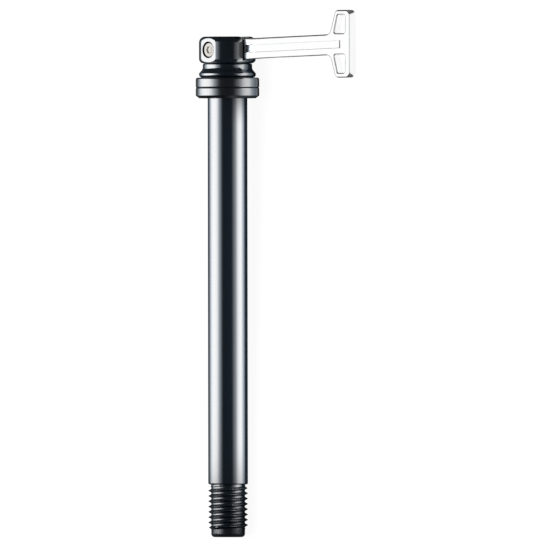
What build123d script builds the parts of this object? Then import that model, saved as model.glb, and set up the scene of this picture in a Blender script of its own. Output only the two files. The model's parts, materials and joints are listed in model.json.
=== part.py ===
from build123d import *

import os
from math import asin, atan2, cos, degrees, hypot, radians, sin, tan

# A quick-turn bicycle thru axle: a hollow 15 mm shaft with a thread at one end and, at the
# other, two loose rings, a collar and a slotted head in which a T-shaped lever swings.
# Every piece is drawn upright about the axle's own axis, with the thread down, the lever
# towards +X and the screw of the lever's pivot towards -Y. The origin is the middle of the
# clamping face of the serrated washer. The finished pieces are then laid down together.

# Shaft
shaft_d = 15.0
shaft_bore_d = 7.5
journal_d = 14.9
journal_relief_d = 14.3
journal_relief_length = 0.6
seat_to_shoulder = 145.9
shoulder_chamfer = 0.4
relief_d = 12.9
relief_length = 1.2
thread_length = 15.8
tip_d = 12.75
tip_length = 2.9
tip_bevel_along = 1.4
tip_bevel_across = 2.1
bore_chamfer = 0.4

# Serrated washer
ring_d = 24.0
washer_thickness = 3.85
washer_bevel_along = 1.0
washer_bevel_across = 1.3
tooth_count = 48
tooth_depth = 0.5
tooth_gap_width = 1.0
inner_land = 1.0
edge_break = 0.12

# The collar's foot and the head are turned from one size of bar
bar_d = 21.5

# Slip washer, thrust ring and collar
slip_thickness = 0.26
slip_inset = 0.16
thrust_ring_thickness = 3.65
thrust_ring_round = 0.5
flare_d = bar_d
flare_band = 1.45
flare_slope_height = 1.6
neck_d = 18.66
neck_band = 2.0
collar_skirt_depth = 1.2
collar_round = 0.4

# Running clearances
ring_clearance = 0.1
face_clearance = 0.02
collar_lift = 0.15
pivot_clearance = 0.05
pressed_clearance = 0.01
seat_clearance = 0.05

# Rubber rings
o_ring_section_d = 1.2
o_ring_groove_slack = 0.2
o_ring_groove_depth = 1.25
washer_o_ring_height = 1.95

# Slotted head
head_d = bar_d
head_height = 10.1
head_top_round = 2.3
head_foot_round = 1.75
head_step = 0.2
head_boss_d = 14.0
stem_d = 10.0
stem_depth_in_shaft = 18.0
slot_side_gap = 0.3
slot_floor_gap = 0.15
slot_back_gap = 2.25
facet_distance = 10.1

# Cross pin that locks the head's stem in the shaft
cross_pin_d = 2.0
cross_pin_height = 5.8
cross_pin_recess = 0.3

# Lever
lever_thickness = 3.8
lever_reach = 68.1
arm_height = 7.9
arm_rise_degrees = 1.58
tee_height = 25.5
tee_corner_round = 1.3
tee_shoulder_round = 1.8
tee_top_width = 7.8
strut_sweep = 3.1
strut_root_round = 2.6
outer_bar_width = 2.7
tee_rail_width = 1.85
strut_root_width = 2.15
strut_top_width = 1.75
window_gap_from_arm = 0.1
window_round = 0.8
channel_width = 3.0
channel_depth = 0.8
channel_slope_degrees = 26.0
channel_start = 9.0
channel_end_from_tip = 5.0
lever_edge_break = 0.3

# Pivot of the lever
pivot_shoulder_d = 4.5
bush_wall = 0.65
shim_thickness = 0.25
shim_d = 7.4
screw_head_d = 6.0
screw_head_height = 1.5
screw_head_bevel = 0.45
screw_head_recess = 0.4
screw_pocket_d = 6.3
socket_across_flats = 2.5
socket_depth = 1.1
spring_washer_thickness = 0.3
screw_thread_d = 4.0
screw_thread_length = 5.0
far_ear_seat = 2.0
tap_runout = 0.5

# Heights along the axle, from the clamping face
slip_low = washer_thickness + face_clearance
slip_high = slip_low + slip_thickness
thrust_low = slip_high + face_clearance
thrust_high = thrust_low + thrust_ring_thickness
collar_low = thrust_high + collar_lift
shaft_top = collar_low + collar_skirt_depth
flare_high = collar_low + flare_band
neck_low = flare_high + flare_slope_height
collar_high = neck_low + neck_band
head_low = collar_high + head_step
head_high = head_low + head_height
pivot_height = (head_low + head_high) / 2
relief_low = -seat_to_shoulder - relief_length
thread_low = relief_low - thread_length
tip_low = thread_low - tip_length

# Radii and distances that follow
shaft_r = shaft_d / 2
ring_r = ring_d / 2
journal_r = journal_d / 2
ring_bore_r = journal_r + ring_clearance
head_r = head_d / 2
hub_r = arm_height / 2
half_lever = lever_thickness / 2
half_slot = half_lever + slot_side_gap
slot_floor = pivot_height - hub_r - slot_floor_gap
stem_bore_r = stem_d / 2 + seat_clearance
shoulder_r = pivot_shoulder_d / 2
bush_r = shoulder_r + pivot_clearance + bush_wall
pocket_floor = facet_distance - screw_head_recess - screw_head_height - spring_washer_thickness
tee_centre = pivot_height + lever_reach * tan(radians(arm_rise_degrees))
strut_top_reach = lever_reach - tee_top_width
strut_root_reach = strut_top_reach - strut_sweep
channel_end = lever_reach - channel_end_from_tip


# Shaft: turned and bored, with a relieved journal for the loose rings above the clamping face,
# and a relief between the shank and the thread
with BuildPart() as axle_shaft:
    with BuildSketch(Plane.XZ):
        with BuildLine():
            Polyline(
                (stem_bore_r, shaft_top),
                (journal_r - bore_chamfer, shaft_top),
                (journal_r, shaft_top - bore_chamfer),
                (journal_r, journal_relief_length),
                (journal_relief_d / 2, journal_relief_length),
                (journal_relief_d / 2, 0),
                (shaft_r, 0),
                (shaft_r, -seat_to_shoulder + shoulder_chamfer),
                (shaft_r - shoulder_chamfer, -seat_to_shoulder),
                (relief_d / 2, -seat_to_shoulder),
                (relief_d / 2, relief_low),
                (shaft_r, relief_low),
                (shaft_r, thread_low),
                (tip_d / 2, thread_low),
                (tip_d / 2, tip_low + tip_bevel_along),
                (tip_d / 2 - tip_bevel_across, tip_low),
                (shaft_bore_d / 2 + bore_chamfer, tip_low),
                (shaft_bore_d / 2, tip_low + bore_chamfer),
                (shaft_bore_d / 2, shaft_top - stem_depth_in_shaft - tap_runout),
                (stem_bore_r, shaft_top - stem_depth_in_shaft - tap_runout),
                close=True,
            )
        make_face()
    revolve(axis=Axis.Z)
    with BuildSketch(Plane.XZ):
        with Locations((0, cross_pin_height)):
            Circle(cross_pin_d / 2 + pressed_clearance)
    extrude(amount=shaft_d, both=True, mode=Mode.SUBTRACT)


# Serrated washer: radial teeth on the face that grips the fork, a bevel round them
with BuildPart() as tooth_gap:
    with BuildSketch(Plane.YZ.offset(ring_bore_r + inner_land)):
        Polygon(
            (-tooth_gap_width / 2, 0),
            (0, tooth_depth),
            (tooth_gap_width / 2, 0),
            (tooth_gap_width / 2, -tooth_depth),
            (-tooth_gap_width / 2, -tooth_depth),
            align=None,
        )
    extrude(amount=ring_r - ring_bore_r)

with BuildPart() as serrated_washer:
    with BuildSketch(Plane.XZ):
        with BuildLine():
            Polyline(
                (ring_bore_r, 0),
                (ring_r - washer_bevel_across, 0),
                (ring_r, washer_bevel_along),
                (ring_r, washer_thickness - edge_break),
                (ring_r - edge_break, washer_thickness),
                (ring_bore_r, washer_thickness),
                close=True,
            )
        make_face()
    revolve(axis=Axis.Z)
    with BuildSketch(Plane.XZ):
        with Locations((ring_bore_r, washer_o_ring_height)):
            Rectangle(2 * o_ring_groove_depth, o_ring_section_d + o_ring_groove_slack)
    revolve(axis=Axis.Z, mode=Mode.SUBTRACT)
    with PolarLocations(0, tooth_count):
        add(tooth_gap.part, mode=Mode.SUBTRACT)


# Rubber ring in the washer's bore, which keeps the loose rings from dropping off the shaft
with BuildPart() as retaining_o_ring:
    with BuildSketch(Plane.XZ):
        with Locations((journal_r + ring_clearance / 2 + o_ring_section_d / 2, washer_o_ring_height)):
            Circle(o_ring_section_d / 2)
    revolve(axis=Axis.Z)


# Slip washer between the two rings
with BuildPart() as slip_washer:
    with BuildSketch(Plane.XY.offset(slip_low)):
        Circle(ring_r - slip_inset)
        Circle(ring_bore_r, mode=Mode.SUBTRACT)
    extrude(amount=slip_thickness)


# Thrust ring under the collar
with BuildPart() as thrust_ring:
    with BuildSketch(Plane.XY.offset(thrust_low)):
        Circle(ring_r)
        Circle(ring_bore_r, mode=Mode.SUBTRACT)
    extrude(amount=thrust_ring_thickness)
    fillet(thrust_ring.edges().group_by(Axis.Z)[-1].sort_by(SortBy.RADIUS)[-1], thrust_ring_round)
    chamfer(thrust_ring.edges().group_by(Axis.Z)[0].sort_by(SortBy.RADIUS)[-1], edge_break)


# Collar: a flared foot that sits on the shaft's end, and a neck up to the head
seal_height = neck_low + neck_band / 2
with BuildPart() as flange_collar:
    with BuildSketch(Plane.XZ):
        with BuildLine():
            Polyline(
                (stem_bore_r, shaft_top),
                (journal_r + seat_clearance, shaft_top),
                (journal_r + seat_clearance, collar_low),
                (flare_d / 2 - edge_break, collar_low),
                (flare_d / 2, collar_low + edge_break),
                (flare_d / 2, flare_high),
                (neck_d / 2, neck_low),
                (neck_d / 2, collar_high - edge_break),
                (neck_d / 2 - edge_break, collar_high),
                (stem_bore_r, collar_high),
                close=True,
            )
        make_face()
    revolve(axis=Axis.Z)
    flare_edge = flange_collar.edges().filter_by(GeomType.CIRCLE).filter_by_position(
        Axis.Z, flare_high - edge_break, flare_high + edge_break
    )
    neck_edge = flange_collar.edges().filter_by(GeomType.CIRCLE).filter_by_position(
        Axis.Z, neck_low - edge_break, neck_low + edge_break
    )
    fillet(flare_edge + neck_edge, collar_round)
    with BuildSketch(Plane.XZ):
        with Locations((stem_bore_r, seal_height)):
            Rectangle(2 * o_ring_groove_depth, o_ring_section_d + o_ring_groove_slack)
    revolve(axis=Axis.Z, mode=Mode.SUBTRACT)


# Rubber ring that seals the stem in the collar
with BuildPart() as stem_o_ring:
    with BuildSketch(Plane.XZ):
        with Locations((stem_bore_r + o_ring_section_d / 2 - pressed_clearance, seal_height)):
            Circle(o_ring_section_d / 2)
    revolve(axis=Axis.Z)


# Slotted head: a round-edged puck on a stem, slotted for the lever, with a flat for the screw
with BuildPart() as clevis_head:
    with BuildSketch(Plane.XY.offset(head_low)):
        Circle(head_r)
    extrude(amount=head_height)
    fillet(clevis_head.edges().filter_by(GeomType.CIRCLE).sort_by(Axis.Z)[-1], head_top_round)
    fillet(clevis_head.edges().filter_by(GeomType.CIRCLE).sort_by(Axis.Z)[0], head_foot_round)
    with BuildSketch(Plane.XY.offset(collar_high)):
        Circle(head_boss_d / 2)
    extrude(amount=head_step)
    with BuildSketch(Plane.XY.offset(collar_high)):
        Circle(stem_d / 2)
    extrude(amount=-(collar_high - shaft_top + stem_depth_in_shaft))
    chamfer(clevis_head.edges().group_by(Axis.Z)[0], bore_chamfer)
    # The slot is open above and towards the lever, and rounded behind the hub
    slot_back = -(hub_r + slot_back_gap)
    with BuildSketch(Plane.XY.offset(slot_floor)):
        with Locations((slot_back + half_slot, 0)):
            Circle(half_slot)
        with Locations((slot_back + half_slot, 0)):
            Rectangle(head_d, 2 * half_slot, align=(Align.MIN, Align.CENTER))
    extrude(amount=head_height, mode=Mode.SUBTRACT)
    # The flat and the holes of the pivot screw
    with BuildSketch(Plane.XZ.offset(facet_distance)):
        with Locations((0, pivot_height)):
            Rectangle(head_d, head_height + head_step)
    extrude(amount=head_r, mode=Mode.SUBTRACT)
    with BuildSketch(Plane.XZ.offset(pocket_floor)):
        with Locations((0, pivot_height)):
            Circle(screw_pocket_d / 2)
    extrude(amount=head_r, mode=Mode.SUBTRACT)
    with BuildSketch(Plane.XZ.offset(pocket_floor)):
        with Locations((0, pivot_height)):
            Circle(shoulder_r + pivot_clearance)
    extrude(amount=-(pocket_floor + half_slot + far_ear_seat + face_clearance), mode=Mode.SUBTRACT)
    with BuildSketch(Plane.XZ):
        with Locations((0, pivot_height)):
            Circle(screw_thread_d / 2 + pressed_clearance)
    extrude(amount=-(half_slot + far_ear_seat + screw_thread_length + tap_runout), mode=Mode.SUBTRACT)
    # The hole of the cross pin
    with BuildSketch(Plane.XZ):
        with Locations((0, cross_pin_height)):
            Circle(cross_pin_d / 2 + pressed_clearance)
    extrude(amount=shaft_d, both=True, mode=Mode.SUBTRACT)


# Cross pin through the shaft and the stem, hidden by the thrust ring
with BuildPart() as cross_pin:
    with BuildSketch(Plane.XZ):
        with Locations((0, cross_pin_height)):
            Circle(cross_pin_d / 2)
    extrude(amount=journal_r - cross_pin_recess, both=True)
    chamfer(cross_pin.edges().filter_by(GeomType.CIRCLE), edge_break)


# Pivot screw: a low socket head, a plain shoulder for the lever, a thread in the far ear
with BuildPart() as pivot_screw:
    head_top = facet_distance - screw_head_recess
    head_seat = head_top - screw_head_height
    with BuildSketch(Plane.XZ.offset(head_seat)):
        with Locations((0, pivot_height)):
            Circle(screw_head_d / 2)
    extrude(amount=screw_head_height)
    chamfer(pivot_screw.edges().group_by(Axis.Y)[0], screw_head_bevel)
    with BuildSketch(Plane.XZ.offset(head_seat)):
        with Locations((0, pivot_height)):
            Circle(shoulder_r)
    extrude(amount=-(head_seat + half_slot + far_ear_seat))
    with BuildSketch(Plane.XZ.offset(-half_slot - far_ear_seat)):
        with Locations((0, pivot_height)):
            Circle(screw_thread_d / 2)
    extrude(amount=-screw_thread_length)
    with BuildSketch(Plane.XZ.offset(head_top)):
        with Locations((0, pivot_height)):
            RegularPolygon(socket_across_flats / 2, 6, major_radius=False)
    extrude(amount=-socket_depth, mode=Mode.SUBTRACT)


# Disc spring under the screw's head, which gives the lever its drag
with BuildPart() as spring_washer:
    with BuildSketch(Plane.XZ.offset(pocket_floor)):
        with Locations((0, pivot_height)):
            Circle(screw_head_d / 2)
            Circle(shoulder_r + pivot_clearance, mode=Mode.SUBTRACT)
    extrude(amount=spring_washer_thickness)


# Shims between the lever and the two ears of the head
shim_gap = (slot_side_gap - shim_thickness) / 2
with BuildPart() as near_shim:
    with BuildSketch(Plane.XZ.offset(half_lever + shim_gap)):
        with Locations((0, pivot_height)):
            Circle(shim_d / 2)
            Circle(shoulder_r + pivot_clearance, mode=Mode.SUBTRACT)
    extrude(amount=shim_thickness)

with BuildPart() as far_shim:
    mirror(near_shim.part, about=Plane.XZ)


# Lever: a flat bar with a channel down each face, ending in a T with two windows
def arm_centre(reach):
    """Height of the arm's centreline at a distance from the pivot."""
    return pivot_height + reach * tan(radians(arm_rise_degrees))


window_low = arm_height / 2 + window_gap_from_arm
window_high = tee_height / 2 - tee_rail_width
window_right = lever_reach - outer_bar_width
strut_lean = strut_sweep / (tee_height / 2 - arm_height / 2)
window_root = strut_root_reach + strut_root_width
window_tip = strut_root_reach + strut_lean * (window_high - arm_height / 2) + strut_top_width
strut_foot_reach = strut_root_reach - strut_lean * arm_height / 4

with BuildPart() as t_lever:
    with BuildSketch(Plane.XZ.offset(-half_lever)) as outline:
        with Locations((0, pivot_height)):
            Circle(hub_r)
        with Locations(Location((0, pivot_height), arm_rise_degrees)):
            Rectangle(strut_top_reach, arm_height, align=(Align.MIN, Align.CENTER))
        with BuildLine():
            Polyline(
                (strut_foot_reach, tee_centre + arm_height / 4),
                (strut_top_reach, tee_centre + tee_height / 2),
                (lever_reach, tee_centre + tee_height / 2),
                (lever_reach, tee_centre - tee_height / 2),
                (strut_top_reach, tee_centre - tee_height / 2),
                (strut_foot_reach, tee_centre - arm_height / 4),
                close=True,
            )
        make_face()
        corners = outline.vertices().sort_by(Axis.X)
        fillet(corners[-2:], tee_corner_round)
        shoulders = outline.vertices().filter_by_position(
            Axis.X, strut_top_reach - 0.01, strut_top_reach + 0.01
        )
        fillet(shoulders, tee_shoulder_round)
        roots = outline.vertices().filter_by_position(
            Axis.X, strut_root_reach - strut_top_width, strut_root_reach + strut_top_width
        )
        fillet(roots, strut_root_round)
    extrude(amount=lever_thickness)
    # The two windows, each with a slanted strut on its inner side
    with BuildSketch(Plane.XZ.offset(-half_lever)) as windows:
        for side in (1, -1):
            with BuildLine():
                Polyline(
                    (window_root, tee_centre + side * window_low),
                    (window_tip, tee_centre + side * window_high),
                    (window_right, tee_centre + side * window_high),
                    (window_right, tee_centre + side * window_low),
                    close=True,
                )
            make_face()
        fillet(windows.vertices(), window_round)
    extrude(amount=lever_thickness, mode=Mode.SUBTRACT)
    faces = t_lever.faces().filter_by(Axis.Y)
    chamfer(faces.edges(), lever_edge_break)
    # A channel down each face, with sloping walls
    channel_middle = (channel_start + channel_end) / 2
    for face_offset, cut in ((half_lever, -channel_depth), (-half_lever, channel_depth)):
        with BuildSketch(Plane.XZ.offset(face_offset)):
            with Locations(Location((channel_middle, arm_centre(channel_middle)), arm_rise_degrees)):
                Rectangle(channel_end - channel_start, channel_width)
        extrude(amount=cut, taper=channel_slope_degrees, mode=Mode.SUBTRACT)
    # The bore for the bush
    with BuildSketch(Plane.XZ):
        with Locations((0, pivot_height)):
            Circle(bush_r + pressed_clearance)
    extrude(amount=lever_thickness, both=True, mode=Mode.SUBTRACT)


# Bush pressed in the lever's hub, which turns on the screw's shoulder
with BuildPart() as lever_bush:
    with BuildSketch(Plane.XZ):
        with Locations((0, pivot_height)):
            Circle(bush_r)
            Circle(shoulder_r + pivot_clearance, mode=Mode.SUBTRACT)
    extrude(amount=half_lever, both=True)


# At rest the axle lies on the washer's rim, the thread's last turn and a corner of the T:
# the thread end comes down until the shaft touches, then the axle rolls until the T touches
dip = atan2(ring_r - shaft_r, washer_bevel_along - thread_low)
floor_depth = ring_r * cos(dip) - washer_bevel_along * sin(dip)
tip_rest_height = tee_centre - tee_height / 2 + tee_corner_round
roll_reach = lever_reach - lever_edge_break
roll_drop = (floor_depth + tip_rest_height * sin(dip)) / cos(dip)
roll = asin(roll_drop / hypot(roll_reach, half_lever)) - atan2(half_lever, roll_reach)
lying = (
    Location((0, 0, 0), (degrees(dip), 0, 0))
    * Location((0, 0, 0), (0, degrees(roll), 0))
    * Location((0, 0, 0), (-90, 0, 0))
)
print(f"floor {-floor_depth:.4f} mm, dip {degrees(dip):.4f} deg, roll {degrees(roll):.4f} deg")

os.makedirs("parts", exist_ok=True)
pieces = {
    "axle_shaft": axle_shaft,
    "serrated_washer": serrated_washer,
    "retaining_o_ring": retaining_o_ring,
    "slip_washer": slip_washer,
    "thrust_ring": thrust_ring,
    "flange_collar": flange_collar,
    "stem_o_ring": stem_o_ring,
    "clevis_head": clevis_head,
    "cross_pin": cross_pin,
    "pivot_screw": pivot_screw,
    "spring_washer": spring_washer,
    "near_shim": near_shim,
    "far_shim": far_shim,
    "t_lever": t_lever,
    "lever_bush": lever_bush,
}
for label, piece in pieces.items():
    piece.part = piece.part.moved(lying)
    piece.part.label = label
    export_step(piece.part, f"parts/{label}.step")
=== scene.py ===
"""Finished pieces, materials and studio of a bicycle thru axle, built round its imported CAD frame.

Every piece is drawn upright about the axle's own axis, with the thread down, the lever towards
+X and the lever's screw towards -Y, and is then laid down as the frame lies.
"""

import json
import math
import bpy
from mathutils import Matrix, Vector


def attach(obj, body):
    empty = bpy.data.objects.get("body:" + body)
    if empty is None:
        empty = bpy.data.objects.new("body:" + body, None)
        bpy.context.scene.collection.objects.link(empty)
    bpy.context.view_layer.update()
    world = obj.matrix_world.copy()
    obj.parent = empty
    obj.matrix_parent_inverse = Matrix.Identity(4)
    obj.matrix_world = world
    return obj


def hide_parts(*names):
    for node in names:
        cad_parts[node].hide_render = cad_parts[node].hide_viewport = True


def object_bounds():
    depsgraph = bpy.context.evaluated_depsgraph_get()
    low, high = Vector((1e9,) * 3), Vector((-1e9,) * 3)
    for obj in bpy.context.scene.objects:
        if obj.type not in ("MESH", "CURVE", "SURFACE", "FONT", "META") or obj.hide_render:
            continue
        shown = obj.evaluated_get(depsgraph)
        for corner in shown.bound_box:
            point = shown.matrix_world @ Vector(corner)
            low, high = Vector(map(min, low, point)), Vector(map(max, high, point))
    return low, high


bl_info = {
    "name": "Bicycle Thru Axle",
    "version": (1, 0, 0),
    "blender": (4, 5, 0),
    "location": "View3D > Sidebar > Thru Axle",
    "description": "Builds the finished pieces, materials and studio of a bicycle thru axle",
    "category": "Add Mesh",
}

from functools import partial

import bmesh
import bpy
from bpy.props import FloatProperty, FloatVectorProperty, IntProperty, PointerProperty
from mathutils import Matrix, Vector

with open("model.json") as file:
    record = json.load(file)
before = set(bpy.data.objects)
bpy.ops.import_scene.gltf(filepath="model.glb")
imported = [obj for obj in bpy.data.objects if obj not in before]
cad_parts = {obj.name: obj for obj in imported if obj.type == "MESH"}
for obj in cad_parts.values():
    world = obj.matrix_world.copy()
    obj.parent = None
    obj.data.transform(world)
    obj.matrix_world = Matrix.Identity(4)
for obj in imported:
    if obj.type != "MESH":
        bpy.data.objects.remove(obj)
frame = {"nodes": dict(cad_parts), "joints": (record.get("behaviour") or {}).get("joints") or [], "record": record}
cad_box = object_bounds()

MM = 0.001
FULL_TURN = 2 * math.pi
JOINTS = {joint["name"]: joint for joint in frame["joints"]}
AXLE_LINE = Vector(JOINTS["washer_spin"]["axis"]).normalized()
SCREW_LINE = Vector(JOINTS["lever_swing"]["axis"]).normalized()
LEVER_LINE = AXLE_LINE.cross(SCREW_LINE).normalized()
LAID_DOWN = Matrix((LEVER_LINE, -SCREW_LINE, AXLE_LINE)).transposed().to_4x4()
UPRIGHT = LAID_DOWN.inverted()
PIVOT_HEIGHT = Vector(JOINTS["lever_swing"]["pos_m"]).dot(AXLE_LINE)
FLOOR_HEIGHT = cad_box[0].z


# Sizes and colours

def length(name, description, millimetres):
    """A length, given in millimetres and kept in metres."""
    value = millimetres * MM
    return FloatProperty(name=name, description=description, default=value, unit="LENGTH", precision=5)


def slope(name, description, degrees):
    """An angle, given in degrees and kept in radians."""
    value = math.radians(degrees)
    return FloatProperty(name=name, description=description, default=value, subtype="ANGLE")


def colour(name, description, value):
    """A colour of a finish."""
    return FloatVectorProperty(
        name=name, description=description, default=value, subtype="COLOR", min=0.0, max=1.0
    )


def share(name, description, value, high=1.0):
    """A plain number from 0 up."""
    return FloatProperty(name=name, description=description, default=value, min=0.0, max=high)


class ThruAxleShaftSizes(bpy.types.PropertyGroup):
    """Sizes of the shaft and its thread."""

    diameter: length("Shank diameter", "Diameter of the plain shank", 15.0)
    journal: length("Journal diameter", "Diameter under the loose rings", 14.9)
    journal_relief: length("Journal relief", "Diameter of the relief under the washer", 14.3)
    journal_relief_length: length("Journal relief length", "Length of that relief", 0.6)
    top: length("Top end", "Height of the shaft's upper end", 9.15)
    shoulder: length("Shoulder", "Distance from the clamping face to the shoulder", 145.9)
    shoulder_bevel: length("Shoulder bevel", "Bevel of the shoulder", 0.4)
    relief: length("Relief diameter", "Diameter between the shank and the thread", 12.9)
    thread_start: length("Thread start", "Distance from the clamping face to the thread", 146.5)
    thread_end: length("Thread end", "Distance from the clamping face to the thread's end", 162.9)
    thread_root: length("Thread root", "Diameter at the bottom of the thread", 12.75)
    thread_pitch: length("Thread pitch", "Distance from one crest to the next", 2.0)
    tip: length("Tip diameter", "Diameter of the plain tip", 12.75)
    tip_length: length("Tip length", "Length of the plain tip", 2.9)
    tip_round: length("Tip round", "Rounding of the tip's edge", 1.3)
    bore: length("Bore", "Diameter of the bore", 7.5)
    seat_bore: length("Seat bore", "Diameter of the seat for the head's stem", 10.1)
    seat_depth: length("Seat depth", "Depth of that seat", 18.5)
    pin_hole: length("Pin hole", "Diameter of the lock pin's hole", 2.02)
    pin_height: length("Pin height", "Height of the lock pin's hole", 5.8)


class ThruAxleRingSizes(bpy.types.PropertyGroup):
    """Sizes of the loose rings and the collar."""

    diameter: length("Ring diameter", "Diameter of the two loose rings", 24.0)
    bore: length("Ring bore", "Bore of the loose rings", 15.1)
    washer: length("Washer thickness", "Thickness of the serrated washer", 3.85)
    washer_bevel_along: length("Washer bevel height", "Height of the washer's lower bevel", 1.0)
    washer_bevel_across: length("Washer bevel width", "Width of the washer's lower bevel", 1.3)
    washer_groove: length("Washer groove", "Diameter of the groove for the washer's rubber ring", 17.6)
    washer_groove_low: length("Washer groove foot", "Height of that groove's lower wall", 1.25)
    washer_groove_high: length("Washer groove top", "Height of that groove's upper wall", 2.65)
    teeth: IntProperty(name="Teeth", description="Teeth round the washer", default=48, min=3)
    tooth_gap: length("Tooth gap", "Width of the gap between two teeth", 1.0)
    tooth_depth: length("Tooth depth", "Depth of the gap between two teeth", 0.5)
    land: length("Inner land", "Plain land inside the teeth", 1.0)
    seam_round: length("Seam round", "Rounding of the two rings' edges at their seam", 0.3)
    thrust_low: length("Thrust ring foot", "Height of the thrust ring's lower face", 4.15)
    thrust_high: length("Thrust ring top", "Height of the thrust ring's upper face", 7.8)
    thrust_round: length("Thrust ring round", "Rounding of the thrust ring's upper edge", 0.75)
    collar_low: length("Collar foot", "Height of the collar's lower face", 7.83)
    flare_high: length("Flare top", "Height where the flare's band ends", 9.4)
    neck_low: length("Neck foot", "Height where the neck begins", 11.0)
    collar_high: length("Collar top", "Height of the collar's upper face", 13.14)
    flare: length("Flare diameter", "Diameter of the collar's flare", 21.5)
    neck: length("Neck diameter", "Diameter of the collar's neck", 18.66)
    flare_foot_round: length("Flare foot round", "Rounding of the flare's lower edge", 1.15)
    flare_top_round: length("Flare top round", "Rounding of the flare's upper edge", 0.5)
    neck_foot_round: length("Neck foot round", "Hollow between the flare and the neck", 2.0)
    neck_top_round: length("Neck top round", "Rounding of the neck's upper edge", 0.6)
    seal: length("Seal groove", "Diameter of the groove for the stem's rubber ring", 12.6)
    seal_low: length("Seal groove foot", "Height of that groove's lower wall", 11.3)
    seal_high: length("Seal groove top", "Height of that groove's upper wall", 12.7)


class ThruAxleHeadSizes(bpy.types.PropertyGroup):
    """Sizes of the slotted head and the lever's screw."""

    diameter: length("Head diameter", "Diameter of the head", 21.5)
    low: length("Head foot", "Height of the head's lower face", 13.2)
    high: length("Head top", "Height of the head's upper face", 23.3)
    top_round: length("Head top round", "Rounding of the head's upper edge", 2.3)
    foot_round: length("Head foot round", "Rounding of the head's lower edge", 1.75)
    boss: length("Boss diameter", "Diameter of the boss under the head", 14.0)
    stem: length("Stem diameter", "Diameter of the stem in the shaft", 10.0)
    stem_end: length("Stem end", "Height of the stem's lower end", -8.85)
    slot: length("Slot width", "Width of the lever's slot", 4.4)
    slot_floor: length("Slot floor", "Height of the slot's floor", 14.15)
    slot_back: length("Slot back", "Distance from the axis to the slot's round end", 6.2)
    flat: length("Flat distance", "Distance from the axis to the flat", 10.1)
    pocket: length("Pocket diameter", "Diameter of the screw's pocket", 6.3)
    pocket_floor: length("Pocket floor", "Distance from the axis to the pocket's floor", 7.9)
    edge: length("Edge break", "Small round on the cut edges", 0.12)
    screw_head: length("Screw head diameter", "Diameter of the screw's head", 6.0)
    screw_top: length("Screw head top", "Distance from the axis to the screw's face", 9.7)
    screw_seat: length("Screw head seat", "Distance from the axis to the head's seat", 8.2)
    screw_bevel: length("Screw head bevel", "Bevel round the screw's face", 0.45)
    socket: length("Socket", "Size of the hexagon, across its flats", 2.5)
    socket_depth: length("Socket depth", "Depth of the hexagon", 0.45)
    shoulder: length("Screw shoulder", "Diameter of the screw's shoulder", 4.5)
    shoulder_end: length("Shoulder end", "Distance from the axis to the shoulder's end", 4.2)
    screw_thread: length("Screw thread", "Diameter of the screw's thread", 4.0)
    screw_end: length("Screw end", "Distance from the axis to the screw's end", 9.2)


class ThruAxleLeverSizes(bpy.types.PropertyGroup):
    """Sizes of the T-shaped lever."""

    thickness: length("Thickness", "Thickness of the lever", 3.8)
    reach: length("Reach", "Distance from the pivot to the T's outer face", 68.1)
    arm: length("Arm width", "Width of the arm", 7.9)
    rise: slope("Arm rise", "Angle of the arm to the head's faces", 1.58)
    tee: length("T height", "Height of the T", 25.5)
    tee_top: length("T top width", "Width of the T's upper and lower faces", 7.8)
    sweep: length("Strut sweep", "How far each strut leans outwards", 3.1)
    corner: length("Corner round", "Rounding of the T's outer corners", 2.2)
    shoulder: length("Shoulder round", "Rounding of the T's inner corners", 1.8)
    root: length("Root round", "Rounding between the arm and the struts", 2.6)
    outer_bar: length("Outer bar", "Width of the T's outer bar", 2.7)
    rail: length("Rail", "Width of the rails above and below the windows", 1.85)
    strut_root: length("Strut root", "Width of a strut at its root", 2.15)
    strut_top: length("Strut top", "Width of a strut at its top", 1.75)
    window_gap: length("Window gap", "Distance from the arm's edge line to a window", 0.1)
    window_round: length("Window round", "Rounding of the windows' corners", 0.8)
    edge: length("Edge round", "Rounding of the lever's edges", 0.56)
    channel: length("Channel width", "Width of the channel", 3.0)
    channel_depth: length("Channel depth", "Depth of the channel", 0.8)
    channel_start: length("Channel start", "Distance from the pivot to the channel", 9.0)
    channel_end: length("Channel end", "Distance from the pivot to the channel's end", 63.1)
    channel_slope: slope("Channel slope", "Slope of the channel's walls", 16.5)
    channel_runout: slope("Channel run-out", "Slope of the channel's end wall beside the T", 60.0)
    hub_bore: length("Hub bore", "Diameter of the hub's bore", 5.92)


class ThruAxleFinishes(bpy.types.PropertyGroup):
    """Colours of the finishes and the strength of the studio."""

    black: colour("Black", "Anodised aluminium", (0.003, 0.0058, 0.0088))
    ring_black: colour("Ring black", "Fine-turned anodised aluminium", (0.0046, 0.006, 0.0076))
    polish: colour("Polish", "Polished aluminium", (0.91, 0.912, 0.92))
    screw: colour("Screw", "Satin steel", (0.72, 0.7, 0.66))
    spring: colour("Spring steel", "Hidden steel", (0.5, 0.5, 0.5))
    bronze: colour("Bronze", "Bush", (0.6, 0.42, 0.2))
    plastic: colour("Slip plastic", "Slip washer and shims", (0.005, 0.005, 0.006))
    rubber: colour("Rubber", "Sealing rings", (0.02, 0.02, 0.02))
    floor: colour("Floor", "Studio floor", (0.25, 0.25, 0.25))
    glow: share("Floor glow", "Light that the floor shows to the camera", 0.94, 2.0)
    band: share("Band light", "Brightness of the long panels", 12.1, 50.0)
    dim_light: colour("Dim light", "Colour of the long panels where they fade", (0.76, 0.87, 1.0))
    lever_light: share("Lever light", "Brightness of the lever's own panel", 1.05, 5.0)
    fill_light: share("Fill light", "Brightness of the panel round the camera", 0.6, 5.0)
    floor_light: share("Floor light", "Brightness of the floor's own panel", 1.2, 5.0)


# Mesh tools

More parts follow.
